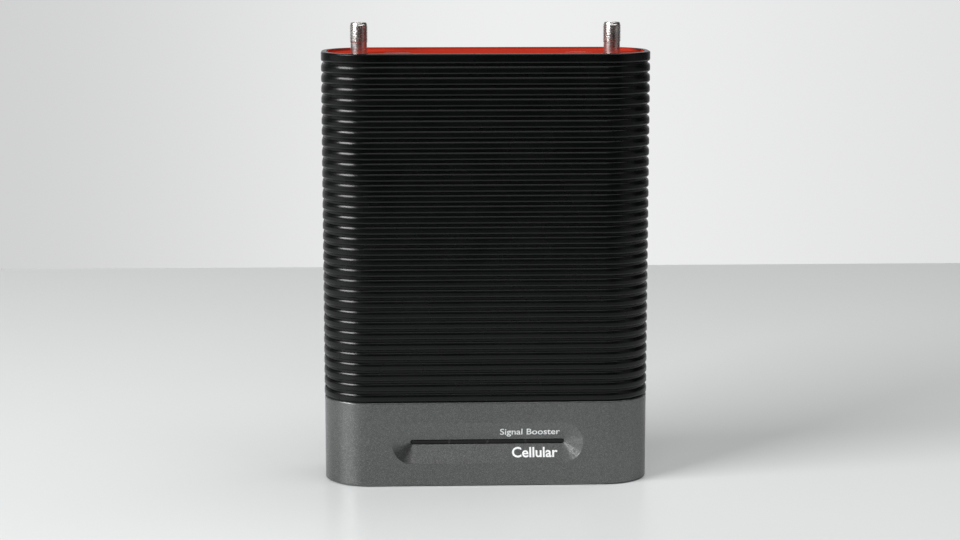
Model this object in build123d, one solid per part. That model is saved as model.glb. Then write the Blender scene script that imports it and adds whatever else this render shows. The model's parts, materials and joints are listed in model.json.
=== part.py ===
# Cellular signal booster: a ribbed heat-sink tower on a grey base, with two coaxial sockets on top.
# Millimetres. The front faces -Y, X runs to the right and Z is up. The origin is the bottom centre.
import os

from build123d import *

os.makedirs("parts", exist_ok=True)

# Overall form
body_width = 176.0            # over the ribs
body_depth = 59.0             # over the ribs
corner_radius = 25.0          # of the ribs in plan
feet_drop = 0.4               # how far the feet stand out below the base
base_top = 46.2
base_inset = 0.2              # the base is this much narrower than the ribs, each side
gasket_thickness = 0.4
shell_top = 232.6
port_top = 247.6

# Ribs of the heat sink
rib_count = 32
rib_pitch = 5.65
rib_height = 4.35             # the rest of the pitch is the groove
rib_depth = 1.25
rib_crown_height = 1.75       # the upper part of a rib leans back in a shallow arc
rib_crown_drop = 0.35
rib_top_round = 0.25
rib_low_round = 1.2           # the lower edge is nearly a quarter round
rim_round = 0.8               # outer edge of the rim
shell_wall = 4.2              # from a rib's face to the inside

# Rim, ledge and flanges of the shells
rim_width = 3.0
tray_border = 0.8             # width of the raised edge round the top plate
tray_depth = 1.3              # the plate's floor lies this far below that edge
tray_round = 0.6
ledge_z = 230.1
ledge_width = 2.0
flange_reach = 12.0           # from a rib's face
flange_thickness = 3.0
top_flange_z = 224.5          # upper face of the top flange
seam_half_gap = 0.05          # each shell stops this far short of the middle plane

# Sockets
port_x = 67.8
thread_radius = 4.725         # 3/8-32 UNEF coaxial thread
relief_radius = 4.375
thread_low = 236.4
thread_high = 246.4
port_bore = 3.15

# Board
board_front = 0.5             # Y of the board's front face
board_thickness = 1.6
board_half_width = 78.0
board_low = 52.0
board_high = 214.0
can_height = 6.0
can_wall = 0.4
pad_thickness = 1.5
pedestal_root = 26.0          # the pedestals are rooted in the wall at this distance from the middle
front_pad_x = (-35, 35)       # middles of the two front pads
front_pad_half_width = 23
front_pad_z = (126, 190)
rear_pad_x = (-30, 30)        # sides of the one rear pad
rear_pad_z = (150, 190)

# Board parts: package sizes are width, height and thickness
uplink_can = ((-64, -6), (116, 198))
downlink_can = ((6, 64), (116, 198))
control_can = ((-36, 36), (64, 106))
band_heights = [124 + 16 * band for band in range(5)]
filter_x = (16, 54)
filter_size = (6, 4, 2)
amplifier_x = 40
amplifier_size = (5, 5, 1)
low_noise_x = 28
low_noise_size = (3, 3, 0.9)
control_z = 85                # height of the microcontroller and the regulators
controller_x = -14
controller_size = (10, 10, 1.4)
regulator_x = (6, 18, 28)
regulator_size = (5, 6, 1.2)
power_x = (20, 34, 48)        # columns of the inductors and the capacitors
inductor_z = 100
inductor_size = (8, 8, 4)
capacitor_z = 80
capacitor_radius = 5
capacitor_height = 12
socket_half_width = 8         # sockets of the ribbon
socket_height = 5

# Base
base_wall = 2.6
deck_thickness = 2.8
plate_thickness = 2.6
recess_half_height = 11.2
recess_end_x = 40.3           # centre of the recess's round ends
recess_depth = 4.5
slit_half_height = 1.3
light_z = 23.5                # centre height of the recess, the light bar and the power inlet
light_seat_y = -20.6          # back of the thick wall round the slit
fin_spacing = 20.6

# Power inlet
inlet_barrel = 5.5
inlet_bore = 3.1
inlet_pin = 1.05
inlet_tag = 0.8               # radius of the pin's tag, behind the mouth's floor
inlet_mouth_y = 28.8
inlet_floor_y = 18.8

# Fasteners
m3_radius = 1.5
m3_head_radius = 2.75
m3_head_height = 2.0
fit_gap = 0.05                # radial clearance of a fastener or insert

# Values worked out from the ones above
half_width = body_width / 2
half_depth = body_depth / 2
corner_x = half_width - corner_radius
corner_y = half_depth - corner_radius
shell_bottom = base_top + gasket_thickness
base_face = half_depth - base_inset
board_back = board_front + board_thickness
can_top = board_front - can_height
flange_spots = [(x, y) for x in (-64, 64) for y in (-21, 21)]
middle_spots = [(0, -21), (0, 21)]
board_spots = [(-72, 62), (72, 62), (-72, 140), (72, 140), (-40, 206), (40, 206)]
housing_posts = [(x, y) for x in (-72, 72) for y in (-12, 12)]
foot_spots = [(x, y) for x in (-56, 56) for y in (-17, 17)]
fin_spots = [-fin_spacing, 0, fin_spacing]
lamp_spots = [fin_spacing * step for step in (-1.5, -0.5, 0.5, 1.5)]


# ---- small helpers ----

def block(x_range, y_range, z_range):
    """A box between two corners."""
    low = Vector(x_range[0], y_range[0], z_range[0])
    size = Vector(x_range[1], y_range[1], z_range[1]) - low
    return Pos(low) * Box(size.X, size.Y, size.Z, align=(Align.MIN, Align.MIN, Align.MIN))


def post(x, y, low, high, radius):
    """A round upright bar."""
    return Pos(x, y, low) * Cylinder(radius, high - low, align=(Align.CENTER, Align.CENTER, Align.MIN))


def bar(x, z, low, high, radius):
    """A round bar along Y."""
    middle = (low + high) / 2
    return Pos(x, middle, z) * Rot(90, 0, 0) * Cylinder(radius, high - low)


def slab(inset, low, high):
    """The tower's plan, drawn in by an inset and given a height."""
    width = body_width - 2 * inset
    depth = body_depth - 2 * inset
    outline = RectangleRounded(width, depth, corner_radius - inset)
    return extrude(Pos(0, 0, low) * outline, high - low)


def slot_bar(length, height, front, back):
    """A bar along Y with round ends in X, at the height of the light."""
    outline = Pos(0, back, light_z) * Rot(90, 0, 0) * SlotOverall(length, height)
    return extrude(outline, back - front, dir=(0, -1, 0))


def hexagon(across_flats, low, high):
    """A hexagonal prism standing on the Z axis."""
    outline = RegularPolygon(across_flats / 2, 6, major_radius=False)
    return extrude(Pos(0, 0, low) * outline, high - low)


def screw(length, radius=m3_radius, head_radius=m3_head_radius, head_height=m3_head_height):
    """A pan-head screw pointing down, its head standing on the XY plane."""
    head = post(0, 0, 0, head_height, head_radius)
    head = fillet(head.edges().sort_by(Axis.Z)[-1], head_height * 0.4)
    shank = post(0, 0, -length, 0, radius)
    drive = extrude(Pos(0, 0, head_height * 0.5) * RectangleRounded(2.6, 0.7, 0.2), head_height)
    return head + shank - drive - Rot(0, 0, 90) * drive


def group(pieces):
    """Separate solids kept in one node."""
    return Compound(children=list(pieces))


def save(name, shape):
    """Write one node and say what it holds."""
    shape.label = name
    export_step(shape, f"parts/{name}.step")
    print(f"{name:26s} {len(shape.solids()):3d} solids {shape.volume:12.1f} mm3")


# ---- heat-sink shells ----

def shell_profile():
    """Section of the wall: u is the distance from the corner's centre, v the height."""
    face_u = corner_radius
    groove_u = corner_radius - rib_depth
    inner_u = corner_radius - shell_wall
    rim_u = corner_radius - rim_width
    ledge_u = rim_u - ledge_width
    flange_u = corner_radius - flange_reach
    crown_u = face_u - rib_crown_drop
    round_u = face_u - rib_low_round
    band_low = shell_bottom + rib_count * rib_pitch
    edges = []
    for step in range(rib_count):
        low = shell_bottom + step * rib_pitch
        high = low + rib_height
        crown_low = (face_u, high - rib_crown_height)
        crown = TangentArc(crown_low, (crown_u, high - rib_top_round), tangent=(0, 1))
        corner = TangentArc(crown @ 1, (crown_u - rib_top_round, high), tangent=crown % 1)
        edges.append(Line((groove_u, low), (round_u, low)))
        edges.append(TangentArc((round_u, low), (face_u, low + rib_low_round), tangent=(1, 0)))
        edges.append(Line((face_u, low + rib_low_round), crown_low))
        edges.append(crown)
        edges.append(corner)
        edges.append(Polyline(corner @ 1, (groove_u, high), (groove_u, low + rib_pitch)))
    edges.append(Line((groove_u, band_low), (round_u, band_low)))
    edges.append(TangentArc((round_u, band_low), (face_u, band_low + rib_low_round), tangent=(1, 0)))
    edges.append(Line((face_u, band_low + rib_low_round), (face_u, shell_top - rim_round)))
    edges.append(TangentArc((face_u, shell_top - rim_round), (face_u - rim_round, shell_top), tangent=(0, 1)))
    points = [(face_u - rim_round, shell_top)]
    points.append((rim_u, shell_top))
    points.append((rim_u, ledge_z))
    points.append((ledge_u, ledge_z))
    points.append((ledge_u, top_flange_z))
    points.append((flange_u, top_flange_z))
    points.append((flange_u, top_flange_z - flange_thickness))
    points.append((inner_u, top_flange_z - flange_thickness))
    points.append((inner_u, shell_bottom + flange_thickness))
    points.append((flange_u, shell_bottom + flange_thickness))
    points.append((flange_u, shell_bottom))
    points.append((groove_u, shell_bottom))
    section = make_face(Curve() + edges + Polyline(points))
    return Rot(90, 0, 0) * section


def half_shell():
    """The front half's wall: a straight front, two turned corners and two short sides."""
    section = shell_profile()
    side_run = corner_y - seam_half_gap
    corner = Pos(corner_x, -corner_y, 0)
    side = extrude(corner * section, side_run, dir=(0, 1, 0))
    turned = corner * Rot(0, 0, -90) * revolve(section, Axis.Z, 90)
    front = extrude(Pos(-corner_x, -corner_y, 0) * Rot(0, 0, -90) * section, 2 * corner_x, dir=(1, 0, 0))
    right = side + turned
    return front + right + mirror(right, Plane.YZ)


def flange_bosses(spots, low, high):
    """Round bosses on the flanges, for the screws that tie the shells together."""
    return [post(x, y, low, high, 4.2) for x, y in spots]


def seam_grooves():
    """Grooves in the meeting faces for the cord that seals the seam."""
    reach = 0.5 + fit_gap
    right = block((85.0 - fit_gap, 86.0 + fit_gap), (-reach, reach), (shell_bottom - 1, shell_top + 1))
    return [right, mirror(right, Plane.YZ)]


def finish_shell(wall, side):
    """Adds bosses and screw holes to a half shell. side is -1 for the front and 1 for the rear."""
    top_spots = [s for s in flange_spots + middle_spots if s[1] * side > 0]
    low_spots = [s for s in flange_spots if s[1] * side > 0]
    boss_depth = 8.0
    top_bosses = flange_bosses(top_spots, top_flange_z - boss_depth, top_flange_z)
    low_bosses = flange_bosses(low_spots, shell_bottom, shell_bottom + boss_depth)
    hole = m3_radius + fit_gap
    top_holes = [post(x, y, top_flange_z - boss_depth - 1, top_flange_z + 1, hole) for x, y in top_spots]
    low_holes = [post(x, y, shell_bottom - 1, shell_bottom + boss_depth + 1, hole) for x, y in low_spots]
    return wall + top_bosses + low_bosses - top_holes - low_holes - seam_grooves()


front_wall = half_shell()
rear_wall = Rot(0, 0, 180) * front_wall

pedestal_front = can_top - pad_thickness


def front_pad_block(x, y_range):
    """A block as wide and as high as a front pad."""
    return block((x - front_pad_half_width, x + front_pad_half_width), y_range, front_pad_z)


pedestals = [front_pad_block(x, (-pedestal_root, pedestal_front)) for x in front_pad_x]
front_shell = finish_shell(front_wall + pedestals, -1)
save("front_heatsink_shell", front_shell)

wall_limit = slab(rib_depth + 0.6, shell_bottom, shell_top)
post_end = pedestal_root + 1
board_posts = [bar(x, z, board_back, post_end, 3.5) & wall_limit for x, z in board_spots]
post_holes = [bar(x, z, board_back - 1, board_back + 10, m3_radius + fit_gap) for x, z in board_spots]
rear_pad_back = board_back + pad_thickness
rear_pedestal = block(rear_pad_x, (rear_pad_back, pedestal_root), rear_pad_z)
rear_shell = finish_shell(rear_wall + rear_pedestal + board_posts, 1) - post_holes
save("rear_heatsink_shell", rear_shell)

cord = block((85.0, 86.0), (-0.5, 0.5), (shell_bottom, shell_top))
save("seam_gaskets", group([cord, mirror(cord, Plane.YZ)]))


# ---- top plate and bracket ----

bracket_thickness = 1.5
bracket_top = top_flange_z + bracket_thickness
port_hole = thread_radius + 0.15
bracket = slab(rim_width + ledge_width + 0.2, top_flange_z, bracket_top)
bracket -= [post(x, 0, 220, shell_top, port_hole) for x in (-port_x, port_x)]
bracket -= [post(x, y, 220, shell_top, m3_radius + 0.2) for x, y in flange_spots + middle_spots]
save("top_bracket", bracket)
save("bracket_screws", group(Pos(x, y, bracket_top) * screw(8) for x, y in flange_spots + middle_spots))

adhesive_top = ledge_z + 0.2
adhesive = slab(rim_width + 0.3, ledge_z, adhesive_top) - slab(rim_width + 1.8, ledge_z - 1, adhesive_top + 1)
save("top_plate_adhesive", adhesive)

plate_top = shell_top - 0.2
top_plate = slab(rim_width + 0.1, adhesive_top, plate_top)
top_plate = fillet(top_plate.faces().sort_by(Axis.Z)[-1].edges(), 0.3)
tray = slab(rim_width + 0.1 + tray_border, plate_top - tray_depth, shell_top)
top_plate -= fillet(tray.faces().sort_by(Axis.Z)[0].edges(), tray_round)
top_plate -= [post(x, 0, 220, shell_top, port_hole) for x in (-port_x, port_x)]
save("top_plate", top_plate)


# ---- coaxial sockets ----

port_flange = (top_flange_z - 3.0, top_flange_z)
tail_low = board_high + 1.0
cap_floor = tail_low + 1.0
contact_top = port_top - 1.7
insulator_top = port_top - 0.7


def port_body():
    """Threaded barrel with a chamfered mouth, a hexagonal flange and four board legs."""
    outline = [
        (0, tail_low), (4.4, tail_low), (4.4, port_flange[0] + 1), (thread_radius, port_flange[0] + 1),
        (thread_radius, shell_top - 1.6), (relief_radius, shell_top - 1.2), (relief_radius, thread_low - 0.3),
        (thread_radius, thread_low), (thread_radius, thread_high), (4.1, thread_high + 0.7),
        (4.0, port_top), (0, port_top),
    ]
    section = Rot(90, 0, 0) * make_face(Polyline(outline, close=True))
    barrel = revolve(section, Axis.Z, 360)
    lip = barrel.edges().filter_by(GeomType.CIRCLE).sort_by(Axis.Z)[-1]
    barrel = fillet(lip, 0.3)
    barrel += hexagon(11.0, port_flange[0], port_flange[1])
    for x in (-2.6, 2.6):
        barrel += block((x - 0.7, x + 0.7), (board_front - 1.4, board_front), (board_high - 5, cap_floor))
        barrel += block((x - 0.7, x + 0.7), (board_back, board_back + 1.4), (board_high - 5, cap_floor))
    barrel -= post(0, 0, cap_floor, port_top + 1, port_bore)
    barrel -= post(0, 0, tail_low - 1, cap_floor + 1, 1.5)
    return barrel


def port_insulator():
    """Dielectric core with a funnel for the centre conductor."""
    core = post(0, 0, cap_floor, insulator_top, port_bore - fit_gap)
    core += post(0, 0, tail_low, cap_floor + 1, 1.5 - fit_gap)
    core -= post(0, 0, cap_floor + 1, contact_top, 1.2)
    core -= post(0, 0, tail_low - 1, cap_floor + 2, 0.5)
    core -= post(0, 0, contact_top - 1, port_top, 0.6)
    funnel = Cone(0.6, 1.2, 0.5, align=(Align.CENTER, Align.CENTER, Align.MIN))
    return core - Pos(0, 0, insulator_top - 0.5) * funnel


def port_contact():
    """Slotted spring tube with a solder pin that lies on the board."""
    tube = post(0, 0, cap_floor + 1, contact_top - fit_gap, 1.2 - fit_gap)
    tube -= post(0, 0, contact_top - 9, contact_top + 1, 0.55)
    tube -= block((-0.15, 0.15), (-2, 2), (contact_top - 7, contact_top + 1))
    return tube + post(0, 0, board_high - 5, cap_floor + 1.5, 0.5 - fit_gap)


def port_washer():
    ring = post(0, 0, bracket_top, bracket_top + 0.6, 6.6)
    return ring - post(0, 0, bracket_top - 1, bracket_top + 2, thread_radius + 0.1)


def port_nut():
    low = bracket_top + 0.6
    nut = hexagon(11.0, low, low + 2.4)
    return nut - post(0, 0, low - 1, low + 4, thread_radius + fit_gap)


for side_name, x in (("outside", -port_x), ("inside", port_x)):
    save(f"{side_name}_port_body", Pos(x, 0, 0) * port_body())
    save(f"{side_name}_port_insulator", Pos(x, 0, 0) * port_insulator())
    save(f"{side_name}_port_contact", Pos(x, 0, 0) * port_contact())
save("port_lock_washers", group(Pos(x, 0, 0) * port_washer() for x in (-port_x, port_x)))
save("port_nuts", group(Pos(x, 0, 0) * port_nut() for x in (-port_x, port_x)))


# ---- base ----

def recess():
    """Hipped recess: two planes slope in to the slit, and a cone closes each end."""
    front = -base_face
    back = front + recess_depth
    outline = [
        (front - 1, recess_half_height), (front, recess_half_height), (back, slit_half_height),
        (back, -slit_half_height), (front, -recess_half_height), (front - 1, -recess_half_height),
    ]
    section = Plane.YZ * make_face(Polyline(outline, close=True))
    trough = extrude(Pos(-recess_end_x, 0, light_z) * section, 2 * recess_end_x, dir=(1, 0, 0))
    cone = Rot(90, 0, 0) * Cone(slit_half_height, recess_half_height, recess_depth)
    cone = Pos(0, (front + back) / 2, 0) * cone
    mouth = bar(0, 0, front - 1, front, recess_half_height)
    ends = [Pos(x, 0, light_z) * (cone + mouth) for x in (-recess_end_x, recess_end_x)]
    return trough + ends


slit_length = 2 * (recess_end_x + slit_half_height)
slit_floor_y = -base_face + recess_depth
deck_low = base_top - deck_thickness
inlet_seat_y = 22.4
inlet_nut_seat = base_face - 2.1

housing = slab(base_inset, feet_drop, base_top)
housing = fillet(housing.faces().sort_by(Axis.Z)[-1].edges(), 0.8)
housing = fillet(housing.faces().sort_by(Axis.Z)[0].edges(), 0.5)
housing -= slab(base_inset + base_wall, feet_drop - 1, deck_low)
housing -= extrude(Pos(0, 0, deck_low - 1) * RectangleRounded(90, 24, 6), deck_thickness + 2)
housing += block((-56, 56), (-base_face + 1, light_seat_y), (7, 40))
housing += [bar(x, light_z, light_seat_y - 1, -18.4, 3.0) for x in (-50.5, 50.5)]
housing += bar(0, light_z, inlet_seat_y, base_face - 1, 12)
posts_low = feet_drop + plate_thickness
housing += [post(x, y, posts_low, deck_low + 1, 3.5) for x, y in housing_posts]
housing -= recess()
recess_rim = [
    edge for edge in housing.edges()
    if abs(edge.center().Y + base_face) < 0.01 and abs(edge.center().X) < 55 and 10 < edge.center().Z < 37
]
housing = fillet(recess_rim, 0.3)
housing -= slot_bar(slit_length, 2 * slit_half_height, slit_floor_y - 1, light_seat_y + 1)
housing -= [bar(x, light_z, -25.6, -18, 1.3) for x in (-50.5, 50.5)]
housing -= bar(0, light_z, inlet_nut_seat, base_face + 1, 9)
housing -= bar(0, light_z, inlet_seat_y - 1, base_face + 1, inlet_barrel + 0.15)
housing -= [post(x, y, posts_low - 1, posts_low + 12, m3_radius + fit_gap) for x, y in housing_posts]
housing -= [post(x, y, deck_low - 1, base_top + 1, m3_radius + 0.2) for x, y in flange_spots]
save("base_housing", housing)

gasket = slab(rib_depth + 0.5, base_top, shell_bottom) - slab(flange_reach, base_top - 1, shell_bottom + 1)
gasket -= [post(x, y, base_top - 1, shell_bottom + 1, m3_radius + 0.2) for x, y in flange_spots]
save("base_gasket", gasket)
save("housing_screws", group(Pos(x, y, deck_low) * Rot(180, 0, 0) * screw(9) for x, y in flange_spots))

base_plate = slab(base_inset + base_wall + 0.15, feet_drop, posts_low)
base_plate -= [post(x, y, 0, feet_drop + 1.2, 6.1) for x, y in foot_spots]
screw_seat = feet_drop + 1.3
base_plate -= [post(x, y, 0, screw_seat, m3_head_radius + 0.25) for x, y in housing_posts]
base_plate -= [post(x, y, 0, posts_low + 1, m3_radius + 0.2) for x, y in housing_posts]
save("base_plate", base_plate)
flat_screw = Rot(180, 0, 0) * screw(10, head_height=1.2)
save("base_plate_screws", group(Pos(x, y, screw_seat) * flat_screw for x, y in housing_posts))


def foot():
    disc = post(0, 0, 0, feet_drop + 1.2, 6.0)
    return fillet(disc.edges().sort_by(Axis.Z)[0], 0.4)


save("rubber_feet", group(Pos(x, y, 0) * foot() for x, y in foot_spots))


# ---- light bar and its board ----

bar_front = slit_floor_y + 0.3
bar_flange_back = light_seat_y + 1.5
light_bar = slot_bar(slit_length - 0.1, 2 * slit_half_height - 0.1, bar_front, light_seat_y)
light_bar = fillet(light_bar.faces().sort_by(Axis.Y)[0].edges(), 0.5)
light_bar += slot_bar(88, 7, light_seat_y, bar_flange_back)
fin_half = 0.3
fin_front = bar_front + 0.4
slot_y = (fin_front, bar_flange_back + 1)
for x in fin_spots:
    light_bar -= block((x - fin_half, x + fin_half), slot_y, (light_z - 2, light_z + 2))
save("light_bar", light_bar)

baffle_back = bar_flange_back + 0.7
baffle = slot_bar(88, 7, bar_flange_back, baffle_back)
for x in lamp_spots:
    baffle -= block((x - 8, x + 8), (bar_flange_back - 1, baffle_back + 1), (light_z - 1.1, light_z + 1.1))
thin = fin_half - fit_gap
for x in fin_spots:
    baffle += block((x - thin, x + thin), (fin_front + 0.05, baffle_back), (light_z - 1.1, light_z + 1.1))
save("light_baffle", baffle)

led_back = baffle_back + 1.6
led_board = block((-54, 54), (baffle_back, led_back), (light_z - 6.5, light_z + 6.5))
led_board -= [bar(x, light_z, baffle_back - 1, led_back + 1, 1.4) for x in (-50.5, 50.5)]
save("led_board", led_board)


def lamp(x):
    """A side-lit lamp: 1.6 wide, 0.8 high and 0.6 deep."""
    return block((x - 0.8, x + 0.8), (baffle_back - 0.6, baffle_back), (light_z - 0.4, light_z + 0.4))


save("status_leds", group(lamp(x) for x in lamp_spots))
led_screw = Rot(-90, 0, 0) * screw(8, radius=1.25, head_radius=2.2, head_height=1.5)
save("led_board_screws", group(Pos(x, led_back, light_z) * led_screw for x in (-50.5, 50.5)))


# ---- main board and its parts ----

board = block((-board_half_width, board_half_width), (board_front, board_back), (board_low, board_high))
board = fillet(board.edges().filter_by(Axis.Y), 3)
board -= [bar(x, z, board_front - 1, board_back + 1, m3_radius + 0.1) for x, z in board_spots]
save("main_board", board)
board_screw = Rot(90, 0, 0) * screw(9)
save("board_screws", group(Pos(x, board_front, z) * board_screw for x, z in board_spots))


def shield_can(x_range, z_range):
    """Five-sided can of thin sheet, open towards the board."""
    can = block(x_range, (can_top, board_front), z_range)
    inner_x = (x_range[0] + can_wall, x_range[1] - can_wall)
    inner_z = (z_range[0] + can_wall, z_range[1] - can_wall)
    return can - block(inner_x, (can_top + can_wall, board_front + 1), inner_z)


save("uplink_shield", shield_can(*uplink_can))
save("downlink_shield", shield_can(*downlink_can))
save("control_shield", shield_can(*control_can))


def chip(x, z, size, at_back=False):
    """A block soldered to the board's front or back face."""
    width, height, thickness = size
    y_range = (board_back, board_back + thickness) if at_back else (board_front - thickness, board_front)
    return block((x - width / 2, x + width / 2), y_range, (z - height / 2, z + height / 2))


def both_paths(x, size):
    """The same chip in the uplink and the downlink path, once for each band."""
    return [chip(side * x, z, size) for side in (-1, 1) for z in band_heights]


save("band_filters", group(both_paths(filter_x[0], filter_size) + both_paths(filter_x[1], filter_size)))
save("power_amplifiers", group(both_paths(amplifier_x, amplifier_size)))
save("low_noise_amplifiers", group(both_paths(low_noise_x, low_noise_size)))
save("microcontroller", chip(controller_x, control_z, controller_size))
save("voltage_regulators", group(chip(x, control_z, regulator_size) for x in regulator_x))
save("power_inductors", group(chip(x, inductor_z, inductor_size, at_back=True) for x in power_x))
capacitor_top = board_back + capacitor_height
capacitors = [bar(x, capacitor_z, board_back, capacitor_top, capacitor_radius) for x in power_x]
save("bulk_capacitors", group(capacitors))
save("front_thermal_pads", group(front_pad_block(x, (pedestal_front, can_top)) for x in front_pad_x))
save("rear_thermal_pad", block(rear_pad_x, (board_back, rear_pad_back), rear_pad_z))


# ---- internal wiring ----

ribbon_half_width = 6.0
ribbon_thickness = 0.25
main_socket_low = 55.0
main_cable_y = -0.8
led_cable_y = led_back + 1.0
led_socket_top = 27.0


def ribbon():
    """Flat cable from the main board down to the light board."""
    upper = [(main_cable_y, main_socket_low), (main_cable_y, 42)]
    lower = [(led_cable_y, 36), (led_cable_y, led_socket_top)]
    route = upper + lower
    path = FilletPolyline([(0, y, z) for y, z in route], radius=3.0)
    start = Plane(origin=path @ 0, z_dir=path % 0, x_dir=(1, 0, 0))
    return sweep(start * Rectangle(2 * ribbon_half_width, ribbon_thickness), path=path)


save("led_ribbon", ribbon())
socket_x = (-socket_half_width, socket_half_width)
main_socket_z = (main_socket_low, main_socket_low + socket_height)
led_socket_z = (led_socket_top - socket_height, led_socket_top)
main_socket = block(socket_x, (board_front - 2.4, board_front), main_socket_z)
led_socket = block(socket_x, (led_back, led_back + 2.2), led_socket_z)
save("ribbon_connectors", group([main_socket, led_socket]))

header_low = 57.0
header_y = (board_back, board_back + 6)
lead_y = 5.5
lead_radius = 0.8
tail_y = 11.0
header = block((-6, 2.5), header_y, (header_low, header_low + 6))
save("power_header", header)


def lead(x):
    """A wire from an inlet tag up to the header."""
    route = [(x, tail_y, light_z), (x, lead_y, light_z), (x, lead_y, header_low)]
    path = FilletPolyline(route, radius=4.0)
    section = Plane(origin=path @ 0, z_dir=path % 0) * Circle(lead_radius)
    return sweep(section, path=path)


spring_x = -inlet_bore - 0.2
save("positive_lead", lead(0))
save("negative_lead", lead(spring_x))


# ---- power inlet ----

def inlet_body():
    """Panel jack: a threaded barrel through the wall, a flange inside and a blind mouth."""
    body = bar(0, light_z, 14, inlet_mouth_y, inlet_barrel)
    body = fillet(body.edges().filter_by(GeomType.CIRCLE).sort_by(Axis.Y)[-1], 0.4)
    body += bar(0, light_z, inlet_seat_y - 2, inlet_seat_y, 7.5)
    body -= bar(0, light_z, inlet_floor_y, inlet_mouth_y + 1, inlet_bore)
    body -= bar(0, light_z, 13, inlet_floor_y + 1, inlet_tag + fit_gap)
    return body - inlet_spring(fit_gap)


def inlet_spring(grow=0.0):
    """Flat side contact at the edge of the mouth, with its tag behind."""
    x_range = (spring_x - 0.15 - grow, spring_x + 0.15 + grow)
    z_range = (light_z - 1.2 - grow, light_z + 1.2 + grow)
    return block(x_range, (tail_y, inlet_mouth_y - 2), z_range)


def inlet_pin_piece():
    """Round centre pin with a domed tip, and a thinner tag behind."""
    pin = bar(0, light_z, inlet_floor_y, inlet_mouth_y - 1, inlet_pin)
    pin = fillet(pin.edges().filter_by(GeomType.CIRCLE).sort_by(Axis.Y)[-1], 0.5)
    return pin + bar(0, light_z, tail_y, inlet_floor_y, inlet_tag)


def inlet_nut():
    """Flat ring nut that clamps the jack from outside."""
    outline = Pos(0, inlet_nut_seat, light_z) * Rot(-90, 0, 0) * RegularPolygon(7.0, 6, major_radius=False)
    nut = extrude(outline, 2.0, dir=(0, 1, 0))
    return nut - bar(0, light_z, inlet_nut_seat - 1, base_face + 1, inlet_barrel + fit_gap)


save("dc_inlet_body", inlet_body())
save("dc_inlet_pin", inlet_pin_piece())
save("dc_inlet_spring", inlet_spring())
save("dc_inlet_nut", inlet_nut())
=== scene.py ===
import bpy
import json
import math
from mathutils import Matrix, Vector


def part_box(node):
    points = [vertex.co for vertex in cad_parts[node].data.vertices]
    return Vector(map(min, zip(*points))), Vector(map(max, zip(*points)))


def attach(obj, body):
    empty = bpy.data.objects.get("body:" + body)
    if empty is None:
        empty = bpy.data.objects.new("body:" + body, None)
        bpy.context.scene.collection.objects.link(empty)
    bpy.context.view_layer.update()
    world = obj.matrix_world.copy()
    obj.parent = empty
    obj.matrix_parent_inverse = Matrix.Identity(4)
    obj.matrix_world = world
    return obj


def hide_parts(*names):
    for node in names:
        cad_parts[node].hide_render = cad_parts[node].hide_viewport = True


# Cellular signal booster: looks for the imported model. Metres, front towards -Y.
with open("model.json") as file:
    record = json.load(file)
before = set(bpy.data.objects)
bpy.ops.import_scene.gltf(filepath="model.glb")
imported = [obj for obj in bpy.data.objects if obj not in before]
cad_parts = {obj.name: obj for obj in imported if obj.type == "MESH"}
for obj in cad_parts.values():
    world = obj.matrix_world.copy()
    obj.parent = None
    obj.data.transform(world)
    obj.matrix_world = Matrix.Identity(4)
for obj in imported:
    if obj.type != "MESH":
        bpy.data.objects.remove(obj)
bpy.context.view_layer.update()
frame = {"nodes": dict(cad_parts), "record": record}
nodes = frame["nodes"]
slotOfNode = {part["node"]: part["material_slot"] for part in frame["record"]["subparts"]}
mm = 0.001
print("frame loaded:", len(nodes), "nodes")


# Small helpers for objects

def clearSelection():
    if bpy.context.object and bpy.context.object.mode == "EDIT":
        bpy.ops.object.mode_set(mode="OBJECT")
    bpy.ops.object.select_all(action="DESELECT")


def makeActive(piece):
    clearSelection()
    piece.select_set(True)
    bpy.context.view_layer.objects.active = piece


def applyModifier(piece, kind, **settings):
    makeActive(piece)
    modifier = piece.modifiers.new(kind.lower(), kind)
    for name, value in settings.items():
        setattr(modifier, name, value)
    bpy.ops.object.modifier_apply(modifier=modifier.name)


def applyPlace(piece):
    makeActive(piece)
    bpy.ops.object.transform_apply(location=True, rotation=True, scale=True)


def selectFaces(piece, test):
    # leaves the piece in edit mode with the faces that pass the test selected
    makeActive(piece)
    bpy.ops.object.mode_set(mode="EDIT")
    bpy.ops.mesh.select_mode(type="FACE")
    bpy.ops.mesh.select_all(action="DESELECT")
    bpy.ops.object.mode_set(mode="OBJECT")
    for face in piece.data.polygons:
        face.select = test(face)
    bpy.ops.object.mode_set(mode="EDIT")


def tidyMesh(piece):
    makeActive(piece)
    bpy.ops.object.mode_set(mode="EDIT")
    bpy.ops.mesh.select_all(action="SELECT")
    bpy.ops.mesh.remove_doubles(threshold=1e-7)
    bpy.ops.mesh.normals_make_consistent(inside=False)
    bpy.ops.object.mode_set(mode="OBJECT")


def joinPieces(first, others):
    makeActive(first)
    for piece in others:
        piece.select_set(True)
    bpy.ops.object.join()
    return first


def finishPiece(piece, name, material):
    piece.name = name
    piece.data.name = name
    piece.data.materials.clear()
    piece.data.materials.append(material)
    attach(piece, "root")


# Camera, studio and lamps

def addMath(tree, operation, first, second):
    node = tree.nodes.new("ShaderNodeMath")
    node.operation = operation
    for index, value in enumerate((first, second)):
        if isinstance(value, (int, float)):
            node.inputs[index].default_value = value
        else:
            tree.links.new(value, node.inputs[index])
    return node.outputs[0]


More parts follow.
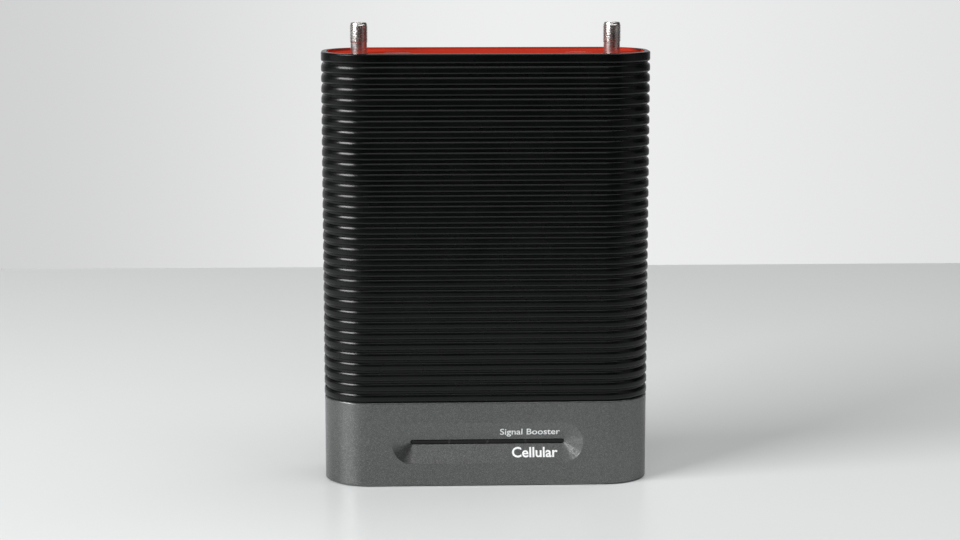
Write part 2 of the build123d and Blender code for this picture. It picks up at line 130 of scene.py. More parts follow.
camera = {"place": (-0.0507, -1.1809, 0.3075), "down": 9.33, "turn": -2.315, "lens": 82.47, "sensor": 36.0,
          "clipStart": 0.01}
stage = {"halfWidth": 4.0, "front": -0.55, "back": 0.71, "color": (0.785, 0.800, 0.800),
         "roughness": 0.30, "specular": 0.10, "patchTone": 0.985, "grainScale": 300, "patchScale": 3}
# left, middle and right colour the backdrop with painted shade across the view, darkest on the left
sky = {
    "left": (0.630, 0.635, 0.635), "middle": (0.850, 0.855, 0.855), "right": (0.740, 0.745, 0.745),
    "middleAt": 0.06, "halfSpan": 0.26, "front": 0.02, "back": 0.8, "rightDimming": 0.1, "gather": 5.0,
    "darkUpTo": -0.3,
}
lampAim = (0, 0, 0.12)
lamps = {
    "keyLamp": {"place": (-2.15, -1.24, 1.22), "size": (1.65, 0.80), "power": 92.0},
    "leftPanel": {"place": (-1.70, -0.30, 0.50), "size": (1.40, 0.90), "power": 0.6},
    "rightPanel": {"place": (1.50, -0.80, 0.50), "size": (1.20, 0.90), "power": 0.8},
    "frontTopLamp": {"place": (-0.10, -1.45, 1.30), "size": (1.0, 0.5), "power": 2.6},
    "topLamp": {"place": (0.55, -0.10, 1.9), "size": (1.8, 1.4), "power": 20.0},
}


def addCamera():
    data = bpy.data.cameras.new("mainCamera")
    data.lens = camera["lens"]
    data.sensor_width = camera["sensor"]
    data.clip_start = camera["clipStart"]
    made = bpy.data.objects.new("mainCamera", data)
    made.location = camera["place"]
    made.rotation_euler = (math.radians(90 - camera["down"]), 0, math.radians(camera["turn"]))
    bpy.context.scene.collection.objects.link(made)
    bpy.context.scene.camera = made


def addLamp(name, values):
    data = bpy.data.lights.new(name, "AREA")
    data.shape = "RECTANGLE"
    data.size, data.size_y = values["size"]
    data.energy = values["power"]
    made = bpy.data.objects.new(name, data)
    made.location = values["place"]
    aim = Vector(lampAim) - Vector(values["place"])
    made.rotation_euler = aim.to_track_quat("-Z", "Y").to_euler()
    bpy.context.scene.collection.objects.link(made)


def addSky():
    # a pale backdrop for the camera with painted shade on its left, and for reflections a room bright behind
    # the object
    world = bpy.data.worlds.new("softStudio")
    bpy.context.scene.world = world
    world.use_nodes = True
    tree = world.node_tree
    tree.nodes.clear()
    place = tree.nodes.new("ShaderNodeTexCoord")
    axes = tree.nodes.new("ShaderNodeSeparateXYZ")
    depth = tree.nodes.new("ShaderNodeMapRange")
    across = tree.nodes.new("ShaderNodeMapRange")
    backdrop = tree.nodes.new("ShaderNodeValToRGB")
    room = tree.nodes.new("ShaderNodeBackground")
    seen = tree.nodes.new("ShaderNodeBackground")
    path = tree.nodes.new("ShaderNodeLightPath")
    mix = tree.nodes.new("ShaderNodeMixShader")
    out = tree.nodes.new("ShaderNodeOutputWorld")
    depth.inputs["From Min"].default_value = sky["darkUpTo"]
    across.inputs["From Min"].default_value = sky["middleAt"] - sky["halfSpan"]
    across.inputs["From Max"].default_value = sky["middleAt"] + sky["halfSpan"]
    # painted shade on the backdrop: darker on the left, brightest just right of the middle
    backdrop.color_ramp.interpolation = "EASE"
    backdrop.color_ramp.elements[0].color = (*sky["left"], 1)
    backdrop.color_ramp.elements[1].color = (*sky["right"], 1)
    backdrop.color_ramp.elements.new(0.5).color = (*sky["middle"], 1)
    link = tree.links.new
    link(place.outputs["Generated"], axes.inputs[0])
    sideways = addMath(tree, "MULTIPLY", axes.outputs["X"], sky["rightDimming"])
    link(addMath(tree, "SUBTRACT", axes.outputs["Y"], sideways), depth.inputs["Value"])
    link(axes.outputs["X"], across.inputs["Value"])
    link(across.outputs["Result"], backdrop.inputs["Fac"])
    link(backdrop.outputs["Color"], seen.inputs["Color"])
    brightening = addMath(tree, "POWER", depth.outputs["Result"], sky["gather"])
    spread = addMath(tree, "MULTIPLY", brightening, sky["back"] - sky["front"])
    link(addMath(tree, "ADD", spread, sky["front"]), room.inputs["Strength"])
    link(path.outputs["Is Camera Ray"], mix.inputs["Fac"])
    link(room.outputs["Background"], mix.inputs[1])
    link(seen.outputs["Background"], mix.inputs[2])
    link(mix.outputs["Shader"], out.inputs["Surface"])


addCamera()
addSky()
for lampName, lampValues in lamps.items():
    addLamp(lampName, lampValues)
bpy.context.scene.view_settings.view_transform = "Standard"
print("camera, sky and lamps placed")


# Node groups that several finishes share

def newGroup(name, inputs, outputs):
    tree = bpy.data.node_groups.new(name, "ShaderNodeTree")
    for label, kind, value in inputs:
        entry = tree.interface.new_socket(label, in_out="INPUT", socket_type=kind)
        if value is not None:
            entry.default_value = value
    for label, kind in outputs:
        tree.interface.new_socket(label, in_out="OUTPUT", socket_type=kind)
    return tree, tree.nodes.new("NodeGroupInput"), tree.nodes.new("NodeGroupOutput")


def addRange(tree, value, low, high, newLow=0.0, newHigh=1.0):
    node = tree.nodes.new("ShaderNodeMapRange")
    for label, number in (("From Min", low), ("From Max", high), ("To Min", newLow), ("To Max", newHigh)):
        node.inputs[label].default_value = number
    tree.links.new(value, node.inputs["Value"])
    return node.outputs["Result"]


def addNoise(tree, place, scale, detail=2.0):
    node = tree.nodes.new("ShaderNodeTexNoise")
    node.inputs["Detail"].default_value = detail
    tree.links.new(place, node.inputs["Vector"])
    if isinstance(scale, (int, float)):
        node.inputs["Scale"].default_value = scale
    else:
        tree.links.new(scale, node.inputs["Scale"])
    return node.outputs["Fac"]


dustScale = 420.0


def makeGrainGroup():
    # fine grain for a bump, and broad soft patches for colour and gloss
    tree, entry, out = newGroup(
        "surfaceGrain",
        [("Place", "NodeSocketVector", None), ("Grain Scale", "NodeSocketFloat", 1500.0),
         ("Patch Scale", "NodeSocketFloat", 25.0)],
        [("Grain", "NodeSocketFloat"), ("Patches", "NodeSocketFloat")],
    )
    grain = addNoise(tree, entry.outputs["Place"], entry.outputs["Grain Scale"], 3.0)
    patches = addNoise(tree, entry.outputs["Place"], entry.outputs["Patch Scale"], 2.0)
    tree.links.new(grain, out.inputs["Grain"])
    tree.links.new(addRange(tree, patches, 0.3, 0.7), out.inputs["Patches"])
    return tree


def makeFlakeGroup():
    # small metal flakes in paint: each cell leans its own way, and a few catch the light
    tree, entry, out = newGroup(
        "metalFlakes",
        [("Place", "NodeSocketVector", None), ("Flake Scale", "NodeSocketFloat", 2500.0),
         ("Lean", "NodeSocketFloat", 0.2)],
        [("Sparkle", "NodeSocketFloat"), ("Normal", "NodeSocketVector")],
    )
    cells = tree.nodes.new("ShaderNodeTexVoronoi")
    shift = tree.nodes.new("ShaderNodeVectorMath")
    lean = tree.nodes.new("ShaderNodeVectorMath")
    surface = tree.nodes.new("ShaderNodeNewGeometry")
    added = tree.nodes.new("ShaderNodeVectorMath")
    unit = tree.nodes.new("ShaderNodeVectorMath")
    tone = tree.nodes.new("ShaderNodeSeparateColor")
    shift.operation = "SUBTRACT"
    shift.inputs[1].default_value = (0.5, 0.5, 0.5)
    lean.operation = "SCALE"
    added.operation = "ADD"
    unit.operation = "NORMALIZE"
    link = tree.links.new
    link(entry.outputs["Place"], cells.inputs["Vector"])
    link(entry.outputs["Flake Scale"], cells.inputs["Scale"])
    link(cells.outputs["Color"], shift.inputs[0])
    link(shift.outputs["Vector"], lean.inputs[0])
    link(entry.outputs["Lean"], lean.inputs["Scale"])
    link(surface.outputs["Normal"], added.inputs[0])
    link(lean.outputs["Vector"], added.inputs[1])
    link(added.outputs["Vector"], unit.inputs[0])
    link(unit.outputs["Vector"], out.inputs["Normal"])
    link(cells.outputs["Color"], tone.inputs["Color"])
    link(addRange(tree, tone.outputs["Green"], 0.55, 1.0), out.inputs["Sparkle"])
    return tree


def makeDustGroup():
    # a thin uneven film of specks on faces that look up
    tree, entry, out = newGroup(
        "settledDust",
        [("Place", "NodeSocketVector", None), ("Amount", "NodeSocketFloat", 0.2)],
        [("Mask", "NodeSocketFloat")],
    )
    surface = tree.nodes.new("ShaderNodeNewGeometry")
    axes = tree.nodes.new("ShaderNodeSeparateXYZ")
    tree.links.new(surface.outputs["Normal"], axes.inputs[0])
    upward = addRange(tree, axes.outputs["Z"], 0.5, 1.0)
    specks = addRange(tree, addNoise(tree, entry.outputs["Place"], dustScale, 4.0), 0.35, 0.75)
    film = addMath(tree, "MULTIPLY", upward, specks)
    tree.links.new(addMath(tree, "MULTIPLY", film, entry.outputs["Amount"]), out.inputs["Mask"])
    return tree


def makeLineGroup():
    # straight rolling or turning lines along one axis of the place given
    tree, entry, out = newGroup(
        "drawnLines",
        [("Place", "NodeSocketVector", None), ("Stretch", "NodeSocketVector", (30.0, 2500.0, 2500.0))],
        [("Lines", "NodeSocketFloat")],
    )
    stretched = tree.nodes.new("ShaderNodeVectorMath")
    stretched.operation = "MULTIPLY"
    tree.links.new(entry.outputs["Place"], stretched.inputs[0])
    tree.links.new(entry.outputs["Stretch"], stretched.inputs[1])
    tree.links.new(addNoise(tree, stretched.outputs["Vector"], 1.0, 2.0), out.inputs["Lines"])
    return tree


grainGroup = makeGrainGroup()
flakeGroup = makeFlakeGroup()
dustGroup = makeDustGroup()
lineGroup = makeLineGroup()


class Finish:
    # one material under construction: its tree, its shader and its place on the object
    def __init__(self, name):
        self.material = bpy.data.materials.new(name)
        self.material.use_nodes = True
        self.tree = self.material.node_tree
        self.shader = self.tree.nodes["Principled BSDF"]
        self.place = self.tree.nodes.new("ShaderNodeTexCoord").outputs["Object"]

    def set(self, **values):
        for label, value in values.items():
            self.shader.inputs[label.replace("_", " ")].default_value = value

    def feed(self, label, output):
        self.tree.links.new(output, self.shader.inputs[label.replace("_", " ")])

    def group(self, tree, **values):
        node = self.tree.nodes.new("ShaderNodeGroup")
        node.node_tree = tree
        self.tree.links.new(self.place, node.inputs["Place"])
        for label, value in values.items():
            node.inputs[label.replace("_", " ")].default_value = value
        return node

    def blend(self, mask, first, second):
        # colour between two colours, each a fixed colour or another output
        node = self.tree.nodes.new("ShaderNodeMix")
        node.data_type = "RGBA"
        self.tree.links.new(mask, node.inputs["Factor"])
        for label, color in (("A", first), ("B", second)):
            if isinstance(color, tuple):
                node.inputs[label].default_value = (*color, 1)
            else:
                self.tree.links.new(color, node.inputs[label])
        return node.outputs["Result"]

    def bump(self, height, depth, strength=1.0, under=None):
        node = self.tree.nodes.new("ShaderNodeBump")
        node.inputs["Strength"].default_value = strength
        node.inputs["Distance"].default_value = depth
        self.tree.links.new(height, node.inputs["Height"])
        if under is not None:
            self.tree.links.new(under, node.inputs["Normal"])
        self.feed("Normal", node.outputs["Normal"])


# Plain finishes: two colours in soft patches, a gloss that varies, and a fine grain

plainFinishes = {
    "softRubber": {"colors": ((0.010, 0.010, 0.010), (0.018, 0.018, 0.018)), "gloss": (0.62, 0.80),
                   "grain": (1800, 0.03), "dust": 0.15},
    "texturedPlastic": {"colors": ((0.012, 0.012, 0.013), (0.020, 0.020, 0.021)), "gloss": (0.45, 0.60),
                        "grain": (1400, 0.06), "dust": 0.10},
    "whiteDielectric": {"colors": ((0.78, 0.77, 0.73), (0.84, 0.83, 0.80)), "gloss": (0.35, 0.50),
                        "grain": (1600, 0.02), "dust": 0.05},
    "epoxyPackage": {"colors": ((0.020, 0.020, 0.022), (0.035, 0.035, 0.038)), "gloss": (0.40, 0.55),
                     "grain": (3000, 0.02), "dust": 0.10},
    "glazedCeramic": {"colors": ((0.70, 0.68, 0.62), (0.78, 0.76, 0.71)), "gloss": (0.15, 0.25),
                      "grain": (1200, 0.01), "dust": 0.05},
    "lampResin": {"colors": ((0.80, 0.78, 0.62), (0.88, 0.87, 0.78)), "gloss": (0.08, 0.16),
                  "grain": (900, 0.005), "dust": 0.02},
    "siliconePad": {"colors": ((0.30, 0.33, 0.42), (0.36, 0.39, 0.48)), "gloss": (0.60, 0.75),
                    "grain": (900, 0.05), "dust": 0.05},
    "foamTape": {"colors": ((0.03, 0.03, 0.03), (0.06, 0.06, 0.06)), "gloss": (0.80, 0.95),
                 "grain": (1500, 0.10), "dust": 0.05},
    "redInsulation": {"colors": ((0.52, 0.02, 0.015), (0.62, 0.03, 0.02)), "gloss": (0.30, 0.42),
                      "grain": (1500, 0.01), "dust": 0.05},
    "blackInsulation": {"colors": ((0.012, 0.012, 0.012), (0.022, 0.022, 0.022)), "gloss": (0.30, 0.42),
                        "grain": (1500, 0.01), "dust": 0.05},
    "greyInk": {"colors": ((0.26, 0.21, 0.21), (0.31, 0.26, 0.26)), "gloss": (0.50, 0.60),
                "grain": (2500, 0.004), "dust": 0.0},
    "whiteInk": {"colors": ((0.86, 0.88, 0.88), (0.92, 0.94, 0.94)), "gloss": (0.45, 0.55),
                 "grain": (2500, 0.004), "dust": 0.0},
}
dustColor = (0.42, 0.40, 0.37)


def makePlainFinish(name, values):
    finish = Finish(name)
    grainScale, grainDepth = values["grain"]
    grain = finish.group(grainGroup, Grain_Scale=grainScale)
    color = finish.blend(grain.outputs["Patches"], *values["colors"])
    if values["dust"]:
        dust = finish.group(dustGroup, Amount=values["dust"])
        color = finish.blend(dust.outputs["Mask"], color, dustColor)
    finish.feed("Base_Color", color)
    finish.feed("Roughness", addRange(finish.tree, grain.outputs["Patches"], 0, 1, *values["gloss"]))
    finish.bump(grain.outputs["Grain"], grainDepth * mm)
    return finish.material


# Finishes with a character of their own

shellFinish = {"dark": (0.0014, 0.0019, 0.0017), "light": (0.0024, 0.0030, 0.0027), "gloss": (0.23, 0.29),
               "specular": 0.28, "grainScale": 1900, "patchScale": 40, "grainDepth": 0.005, "dust": 0.006}


def makeCastEnamel():
    # thin satin enamel over die-cast aluminium: a fine orange peel and slow changes of gloss
    finish = Finish("castEnamel")
    grain = finish.group(
        grainGroup, Grain_Scale=shellFinish["grainScale"], Patch_Scale=shellFinish["patchScale"])
    dust = finish.group(dustGroup, Amount=shellFinish["dust"])
    color = finish.blend(grain.outputs["Patches"], shellFinish["dark"], shellFinish["light"])
    finish.feed("Base_Color", finish.blend(dust.outputs["Mask"], color, dustColor))
    finish.feed("Roughness", addRange(finish.tree, grain.outputs["Patches"], 0, 1, *shellFinish["gloss"]))
    finish.set(Specular_IOR_Level=shellFinish["specular"])
    finish.bump(grain.outputs["Grain"], shellFinish["grainDepth"] * mm)
    return finish.material


plateFinish = {"dark": (0.42, 0.033, 0.017), "light": (0.45, 0.037, 0.019), "gloss": (0.38, 0.46),
               "specular": 0.0, "grainScale": 2200, "patchScale": 30, "grainDepth": 0.008, "dust": 0.003}


def makeRedPlastic():
    # deep red moulded plastic, quite matt so that it stays red at a low angle
    finish = Finish("redSatinPlastic")
    grain = finish.group(
        grainGroup, Grain_Scale=plateFinish["grainScale"], Patch_Scale=plateFinish["patchScale"])
    dust = finish.group(dustGroup, Amount=plateFinish["dust"])
    color = finish.blend(grain.outputs["Patches"], plateFinish["dark"], plateFinish["light"])
    finish.feed("Base_Color", finish.blend(dust.outputs["Mask"], color, dustColor))
    finish.feed("Roughness", addRange(finish.tree, grain.outputs["Patches"], 0, 1, *plateFinish["gloss"]))
    finish.set(Specular_IOR_Level=plateFinish["specular"])
    finish.bump(grain.outputs["Grain"], plateFinish["grainDepth"] * mm)
    return finish.material


baseFinish = {"dark": (0.112, 0.117, 0.115), "light": (0.128, 0.133, 0.131), "flake": (0.27, 0.28, 0.27),
              "metal": 0.85, "gloss": (0.29, 0.34), "flakeScale": 5200, "lean": 0.15,
              "grainScale": 1500, "patchScale": 18, "grainDepth": 0.01, "coat": 0.12, "coatGloss": 0.2}


def makeSparklePaint():
    # grey paint with fine aluminium flakes under a thin clear coat
    finish = Finish("sparkleGreyPaint")
    flakes = finish.group(flakeGroup, Flake_Scale=baseFinish["flakeScale"], Lean=baseFinish["lean"])
    grain = finish.group(
        grainGroup, Grain_Scale=baseFinish["grainScale"], Patch_Scale=baseFinish["patchScale"])
    color = finish.blend(grain.outputs["Patches"], baseFinish["dark"], baseFinish["light"])
    finish.feed("Base_Color", finish.blend(flakes.outputs["Sparkle"], color, baseFinish["flake"]))
    finish.feed("Roughness", addRange(finish.tree, grain.outputs["Patches"], 0, 1, *baseFinish["gloss"]))
    finish.set(
        Metallic=baseFinish["metal"], Coat_Weight=baseFinish["coat"], Coat_Roughness=baseFinish["coatGloss"])
    finish.bump(grain.outputs["Grain"], baseFinish["grainDepth"] * mm, under=flakes.outputs["Normal"])
    return finish.material


# stretch gives how many lines there are in a metre along each axis
metalFinishes = {
    "nickelPlate": {"colors": ((0.66, 0.65, 0.63), (0.74, 0.73, 0.71)), "gloss": (0.24, 0.34),
                    "stretch": (300.0, 300.0, 4000.0), "lineDepth": 0.004},
    "zincSteel": {"colors": ((0.46, 0.47, 0.48), (0.58, 0.59, 0.60)), "gloss": (0.28, 0.42),
                  "stretch": (40.0, 2500.0, 2500.0), "lineDepth": 0.008},
    "goldContact": {"colors": ((0.78, 0.55, 0.20), (0.86, 0.64, 0.28)), "gloss": (0.18, 0.28),
                    "stretch": (300.0, 300.0, 3000.0), "lineDepth": 0.004},
}
metalGrainScale = 1200
metalPatchScale = 120


def makePlatedMetal(name, values):
    # plated or rolled metal with faint drawn lines
    finish = Finish(name)
    grain = finish.group(grainGroup, Grain_Scale=metalGrainScale, Patch_Scale=metalPatchScale)
    lines = finish.group(lineGroup, Stretch=values["stretch"])
    finish.feed("Base_Color", finish.blend(grain.outputs["Patches"], *values["colors"]))
    finish.feed("Roughness", addRange(finish.tree, lines.outputs["Lines"], 0.3, 0.7, *values["gloss"]))
    finish.set(Metallic=1.0)
    finish.bump(lines.outputs["Lines"], values["lineDepth"] * mm, 0.5)
    return finish.material


barFinish = {"body": (0.002, 0.002, 0.0022), "mark": (0.020, 0.020, 0.022), "spacing": 20.6,
             "markHalfWidth": 0.35, "specular": 0.35, "gloss": (0.10, 0.18), "grainScale": 900,
             "grainDepth": 0.003}


def makeSmokedBar():
    # smoked strip: the fins behind it show through as three faint marks
    finish = Finish("smokedBar")
    tree = finish.tree
    axes = tree.nodes.new("ShaderNodeSeparateXYZ")
    tree.links.new(finish.place, axes.inputs[0])
    step = barFinish["spacing"] * mm
    wrapped = addMath(tree, "PINGPONG", axes.outputs["X"], step / 2)
    half = barFinish["markHalfWidth"] * mm
    near = addRange(tree, wrapped, half, 2 * half, 1.0, 0.0)
    within = addMath(tree, "LESS_THAN", addMath(tree, "ABSOLUTE", axes.outputs["X"], 0.0), 1.5 * step)
    grain = finish.group(grainGroup, Grain_Scale=barFinish["grainScale"])
    mark = addMath(tree, "MULTIPLY", near, within)
    finish.feed("Base_Color", finish.blend(mark, barFinish["body"], barFinish["mark"]))
    finish.feed("Roughness", addRange(tree, grain.outputs["Patches"], 0, 1, *barFinish["gloss"]))
    finish.set(Specular_IOR_Level=barFinish["specular"])
    finish.bump(grain.outputs["Grain"], barFinish["grainDepth"] * mm)
    return finish.material


boardFinish = {"mask": (0.010, 0.090, 0.035), "track": (0.020, 0.160, 0.060), "pad": (0.70, 0.66, 0.55),
               "trackScale": 260, "trackWidth": 0.06, "padScale": 420, "padRadius": (0.10, 0.14),
               "gloss": (0.28, 0.35), "trackDepth": 0.03}


def makeSolderMask():
    # green board: lighter tracks under the mask and small tinned pads
    finish = Finish("solderMask")
    tree = finish.tree
    tracks = tree.nodes.new("ShaderNodeTexBrick")
    tracks.inputs["Scale"].default_value = boardFinish["trackScale"]
    tracks.inputs["Mortar Size"].default_value = boardFinish["trackWidth"]
    tracks.inputs["Color1"].default_value = (0, 0, 0, 1)
    tracks.inputs["Color2"].default_value = (0, 0, 0, 1)
    tracks.inputs["Mortar"].default_value = (1, 1, 1, 1)
    upright = tree.nodes.new("ShaderNodeMapping")
    upright.inputs["Rotation"].default_value = (math.radians(90), 0, 0)
    pads = tree.nodes.new("ShaderNodeTexVoronoi")
    pads.inputs["Scale"].default_value = boardFinish["padScale"]
    tree.links.new(finish.place, upright.inputs["Vector"])
    tree.links.new(upright.outputs["Vector"], tracks.inputs["Vector"])
    tree.links.new(upright.outputs["Vector"], pads.inputs["Vector"])
    tracked = finish.blend(tracks.outputs["Color"], boardFinish["mask"], boardFinish["track"])
    padMask = addRange(tree, pads.outputs["Distance"], *boardFinish["padRadius"], 1.0, 0.0)
    finish.feed("Base_Color", finish.blend(padMask, tracked, boardFinish["pad"]))
    finish.feed("Metallic", padMask)
    finish.feed("Roughness", addRange(tree, padMask, 0, 1, *boardFinish["gloss"]))
    finish.bump(tracks.outputs["Fac"], boardFinish["trackDepth"] * mm)
    return finish.material


cableFinish = {"film": (0.72, 0.71, 0.66), "strand": (0.52, 0.50, 0.44), "pitch": 1.0, "edge": (0.2, 0.3),
               "gloss": (0.38, 0.30), "strandDepth": 0.03}


def makeCableFilm():
    # pale film with a conductor every millimetre
    finish = Finish("cableFilm")
    tree = finish.tree
    axes = tree.nodes.new("ShaderNodeSeparateXYZ")
    tree.links.new(finish.place, axes.inputs[0])
    edgeLow, edgeHigh = cableFinish["edge"]
    wave = addMath(tree, "PINGPONG", axes.outputs["X"], cableFinish["pitch"] / 2 * mm)
    stripe = addRange(tree, wave, edgeLow * mm, edgeHigh * mm)
    finish.feed("Base_Color", finish.blend(stripe, cableFinish["film"], cableFinish["strand"]))
    finish.feed("Roughness", addRange(tree, stripe, 0, 1, *cableFinish["gloss"]))
    finish.bump(stripe, cableFinish["strandDepth"] * mm)
    return finish.material


materials = {name: makePlainFinish(name, values) for name, values in plainFinishes.items()}
materials["castEnamel"] = makeCastEnamel()
materials["redSatinPlastic"] = makeRedPlastic()
materials["sparkleGreyPaint"] = makeSparklePaint()
for metalName, metalValues in metalFinishes.items():
    materials[metalName] = makePlatedMetal(metalName, metalValues)
materials["smokedBar"] = makeSmokedBar()
materials["solderMask"] = makeSolderMask()
materials["cableFilm"] = makeCableFilm()

finishOfSlot = {
    "shell_black": "castEnamel", "red_plate": "redSatinPlastic", "base_grey": "sparkleGreyPaint",
    "nickel": "nickelPlate", "steel": "zincSteel", "gold": "goldContact", "dielectric": "whiteDielectric",
    "black_rubber": "softRubber", "smoked": "smokedBar", "black_plastic": "texturedPlastic",
    "circuit_green": "solderMask", "chip_black": "epoxyPackage", "ceramic_filter": "glazedCeramic",
    "led_lens": "lampResin", "thermal_grey": "siliconePad", "adhesive": "foamTape",
    "wire_red": "redInsulation", "wire_black": "blackInsulation", "ribbon_white": "cableFilm",
}
for nodeName, nodeObject in nodes.items():
    finishName = finishOfSlot[slotOfNode[nodeName]]
    for materialSlot in nodeObject.material_slots:
        materialSlot.material = materials[finishName]
print("finishes made:", len(materials))


# Coaxial sockets: turned barrels with a cut thread, modelled once and copied

socket = {
    "reliefRadius": 4.375, "rootRadius": 4.34, "crestRadius": 4.715, "pitch": 0.794,
    "crestHalfWidth": 0.15, "rootHalfWidth": 0.36, "steps": 48, "sides": 96,
    "threadLow": 236.9, "ridgeSink": 0.08, "runOut": 0.4, "runOutSlope": 0.5,
    "noseRadius": 4.0, "noseHeight": 0.6, "noseSlope": 0.42, "lip": 0.12,
    "boreRadius": 3.15, "boreFloor": 1.0,
    "hexAcrossFlats": 11.0, "hexLow": 221.5, "hexHigh": 224.5, "hexRound": 0.25, "collarTop": 231.0,
    "legWidth": 1.4, "legThickness": 1.4, "legOffset": 2.6, "legRound": 0.15, "smoothUpTo": 35,
}


def addThreadRidge(x, top):
    # one tooth's section, wound up the barrel; it runs out at the foot and follows the nose's chamfer
    low = socket["threadLow"] * mm
    turns = int((top - low) / (socket["pitch"] * mm)) - 1
    root = (socket["rootRadius"] - socket["ridgeSink"]) * mm
    crest = socket["crestRadius"] * mm
    bpy.ops.mesh.primitive_plane_add(size=1, location=(x, 0, low))
    ridge = bpy.context.object
    corners = [
        (root, 0, -socket["rootHalfWidth"] * mm), (crest, 0, -socket["crestHalfWidth"] * mm),
        (root, 0, socket["rootHalfWidth"] * mm), (crest, 0, socket["crestHalfWidth"] * mm),
    ]
    for vertex, corner in zip(ridge.data.vertices, corners):
        vertex.co = corner
    bpy.ops.object.mode_set(mode="EDIT")
    bpy.ops.mesh.select_all(action="SELECT")
    bpy.ops.mesh.delete(type="ONLY_FACE")
    bpy.ops.object.mode_set(mode="OBJECT")
    applyModifier(
        ridge, "SCREW", angle=math.tau, screw_offset=socket["pitch"] * mm, iterations=turns,
        steps=socket["steps"], render_steps=socket["steps"], use_smooth_shade=False)
    makeActive(ridge)
    bpy.ops.object.mode_set(mode="EDIT")
    bpy.ops.mesh.select_all(action="SELECT")
    # closes the two ends of the wound section
    bpy.ops.mesh.fill_holes(sides=4)
    bpy.ops.object.mode_set(mode="OBJECT")
    tidyMesh(ridge)
    for vertex in ridge.data.vertices:
        fromTop = top - (low + vertex.co.z)
        noseLimit = socket["noseRadius"] * mm + fromTop * socket["noseSlope"]
        limit = min(noseLimit, root + (vertex.co.z + socket["rootHalfWidth"] * mm) * socket["runOutSlope"])
        reach = math.hypot(vertex.co.x, vertex.co.y)
        if reach > limit:
            vertex.co.x *= limit / reach
            vertex.co.y *= limit / reach
    return ridge


def addBarrel(x, low, top, floor):
    # collar, relief, thread core, chamfered nose, then the bore cut back down from the mouth
    collarTop = socket["collarTop"] * mm
    reliefTop = (socket["threadLow"] - socket["runOut"]) * mm
    noseBase = top - socket["noseHeight"] * mm
    bpy.ops.mesh.primitive_cylinder_add(
        vertices=socket["sides"], radius=socket["crestRadius"] * mm, depth=collarTop - low,
        location=(x, 0, (low + collarTop) / 2))
    barrel = bpy.context.object
    applyPlace(barrel)
    selectFaces(barrel, lambda face: face.normal.z > 0.9)
    bpy.ops.mesh.inset(thickness=(socket["crestRadius"] - socket["reliefRadius"]) * mm)
    bpy.ops.mesh.extrude_region_move(TRANSFORM_OT_translate={"value": (0, 0, reliefTop - collarTop)})
    bpy.ops.mesh.inset(thickness=(socket["reliefRadius"] - socket["rootRadius"]) * mm)
    bpy.ops.mesh.extrude_region_move(TRANSFORM_OT_translate={"value": (0, 0, noseBase - reliefTop)})
    bpy.ops.mesh.extrude_region_move(TRANSFORM_OT_translate={"value": (0, 0, top - noseBase)})
    shrink = socket["noseRadius"] / socket["rootRadius"]
    bpy.ops.transform.resize(value=(shrink, shrink, 1), center_override=(x, 0, top))
    bpy.ops.mesh.inset(thickness=(socket["noseRadius"] - socket["boreRadius"] - socket["lip"]) * mm)
    bpy.ops.mesh.extrude_region_move(TRANSFORM_OT_translate={"value": (0, 0, -socket["lip"] * mm)})
    mouth = socket["boreRadius"] / (socket["boreRadius"] + socket["lip"])
    bpy.ops.transform.resize(value=(mouth, mouth, 1), center_override=(x, 0, top))
    boreDepth = top - floor - socket["lip"] * mm
    bpy.ops.mesh.extrude_region_move(TRANSFORM_OT_translate={"value": (0, 0, -boreDepth)})
    bpy.ops.object.mode_set(mode="OBJECT")
    return barrel


def addHexFlange(x):
    # the hexagonal flange that sits under the bracket
    low = socket["hexLow"] * mm
    high = socket["hexHigh"] * mm
    corner = socket["hexAcrossFlats"] / 2 / math.cos(math.radians(30)) * mm
    bpy.ops.mesh.primitive_cylinder_add(
        vertices=6, radius=corner, depth=high - low, location=(x, 0, (low + high) / 2))
    flange = bpy.context.object
    applyPlace(flange)
    applyModifier(flange, "BEVEL", width=socket["hexRound"] * mm, segments=2)
    return flange


def addBoardLegs(x, low, high):
    # four legs that straddle the board's top edge
    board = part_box("main_board")
    thickness = socket["legThickness"] * mm
    legs = []
    for offset in (-socket["legOffset"], socket["legOffset"]):
        for y in (board[0][1] - thickness / 2, board[1][1] + thickness / 2):
            bpy.ops.mesh.primitive_cube_add(size=1, location=(x + offset * mm, y, (low + high) / 2))
            leg = bpy.context.object
            leg.scale = (socket["legWidth"] * mm, thickness, high - low)
            applyPlace(leg)
            applyModifier(leg, "BEVEL", width=socket["legRound"] * mm, segments=2)
            legs.append(leg)
    return legs


def makeSockets():
    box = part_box("outside_port_body")
    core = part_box("outside_port_insulator")
    x = (core[0][0] + core[1][0]) / 2
    top = box[1][2]
    low = core[0][2]
    floor = low + socket["boreFloor"] * mm
    barrel = addBarrel(x, low, top, floor)
    ridge = addThreadRidge(x, top)
    applyPlace(ridge)
    outside = joinPieces(barrel, [ridge, addHexFlange(x), *addBoardLegs(x, box[0][2], floor)])
    makeActive(outside)
    bpy.ops.object.shade_smooth_by_angle(angle=math.radians(socket["smoothUpTo"]))
    inside = outside.copy()
    inside.data = outside.data.copy()
    bpy.context.scene.collection.objects.link(inside)
    inside.location.x = -2 * x
    applyPlace(inside)
    for piece, name, node in (
        (outside, "outsideThreadedSocket", "outside_port_body"),
        (inside, "insideThreadedSocket", "inside_port_body"),
    ):
        finishPiece(piece, name, materials["nickelPlate"])
        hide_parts(node)


makeSockets()
print("sockets made")


# Printed words: plain names of the ports and of the object

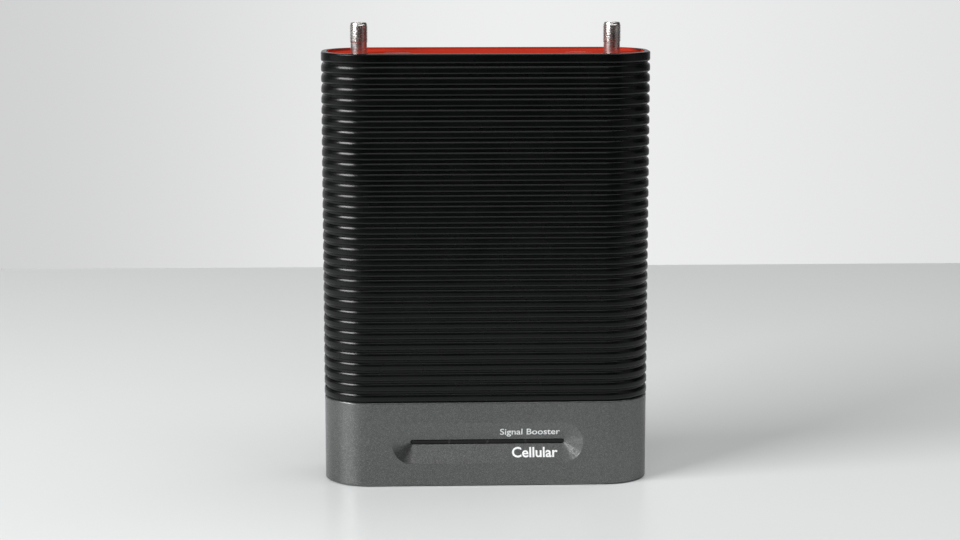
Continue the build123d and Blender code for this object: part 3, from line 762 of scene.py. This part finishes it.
labels = {
    "outsidePortLabel": {"lines": ("OUTSIDE", "ANTENNA"), "middleX": -47.2},
    "insidePortLabel": {"lines": ("INSIDE", "ANTENNA"), "middleX": 50.5},
}
labelSize = 3.0
labelWeight = 0.01
labelMiddleY = 8.0
trayDepth = 1.3
inkThickness = 0.02
lineSpacing = 0.95
words = {
    "upperFrontWords": {"text": "Signal Booster", "leftX": 6.6, "width": 32.4, "weight": 0.012,
                        "alongSlope": 4.3, "upper": True},
    "lowerFrontWords": {"text": "Cellular", "leftX": 13.0, "width": 24.7, "weight": 0.020,
                        "alongSlope": 4.6, "upper": False},
}
wordSize = 4.0
recess = {"halfHeight": 11.2, "slitHalfHeight": 1.3, "depth": 4.5}


def addText(body, size, weight, width=None):
    # flat letters in the XY plane, centred, turned into a closed mesh
    clearSelection()
    bpy.ops.object.text_add(location=(0, 0, 0))
    piece = bpy.context.object
    piece.data.body = body
    piece.data.size = size
    piece.data.align_x = "CENTER"
    piece.data.align_y = "CENTER"
    piece.data.space_line = lineSpacing
    piece.data.resolution_u = 4
    piece.data.extrude = inkThickness / 2 * mm
    piece.data.offset = weight * size
    makeActive(piece)
    bpy.ops.object.convert(target="MESH")
    piece = bpy.context.object
    if width:
        stretch = width / piece.dimensions.x
        piece.scale = (stretch, stretch, 1)
        applyPlace(piece)
    tidyMesh(piece)
    return piece


def makePortLabels():
    # the plate is a shallow tray and the labels lie on its floor
    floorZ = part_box("top_plate")[1][2] - trayDepth * mm
    for name, values in labels.items():
        piece = addText("\n".join(values["lines"]), labelSize * mm, labelWeight)
        piece.location = (values["middleX"] * mm, labelMiddleY * mm, floorZ + inkThickness / 2 * mm)
        applyPlace(piece)
        finishPiece(piece, name, materials["greyInk"])


def makeFrontWords():
    # the recess's two slopes run from the rim at the front to the slit behind
    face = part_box("base_housing")[0][1]
    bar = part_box("light_bar")
    middleZ = (bar[0][2] + bar[1][2]) / 2
    halfHeight = recess["halfHeight"] * mm
    slitHalf = recess["slitHalfHeight"] * mm
    depth = recess["depth"] * mm
    lift = inkThickness / 2 * mm
    tilt = math.atan2(depth, halfHeight - slitHalf)
    for name, values in words.items():
        piece = addText(values["text"], wordSize * mm, values["weight"], values["width"] * mm)
        side = 1 if values["upper"] else -1
        part = values["alongSlope"] / (halfHeight - slitHalf) * mm
        piece.rotation_euler = (math.radians(90) + side * tilt, 0, 0)
        x = (values["leftX"] + values["width"] / 2) * mm
        y = face + depth * (1 - part) - lift * math.cos(tilt)
        z = middleZ + side * (slitHalf + values["alongSlope"] * mm) - side * lift * math.sin(tilt)
        piece.location = (x, y, z)
        applyPlace(piece)
        finishPiece(piece, name, materials["whiteInk"])


makePortLabels()
makeFrontWords()
print("words printed")


def addFloor():
    bpy.ops.mesh.primitive_plane_add(size=1, location=(0, (stage["front"] + stage["back"]) / 2, 0))
    floor = bpy.context.object
    floor.name = "paleFloor"
    floor.scale = (2 * stage["halfWidth"], stage["back"] - stage["front"], 1)
    applyPlace(floor)
    finish = Finish("paleTable")
    grain = finish.group(grainGroup, Grain_Scale=stage["grainScale"], Patch_Scale=stage["patchScale"])
    darker = tuple(stage["patchTone"] * channel for channel in stage["color"])
    finish.feed("Base_Color", finish.blend(grain.outputs["Patches"], darker, stage["color"]))
    finish.set(Roughness=stage["roughness"], Specular_IOR_Level=stage["specular"])
    floor.data.materials.append(finish.material)


clearSelection()
addFloor()
print("floor laid")
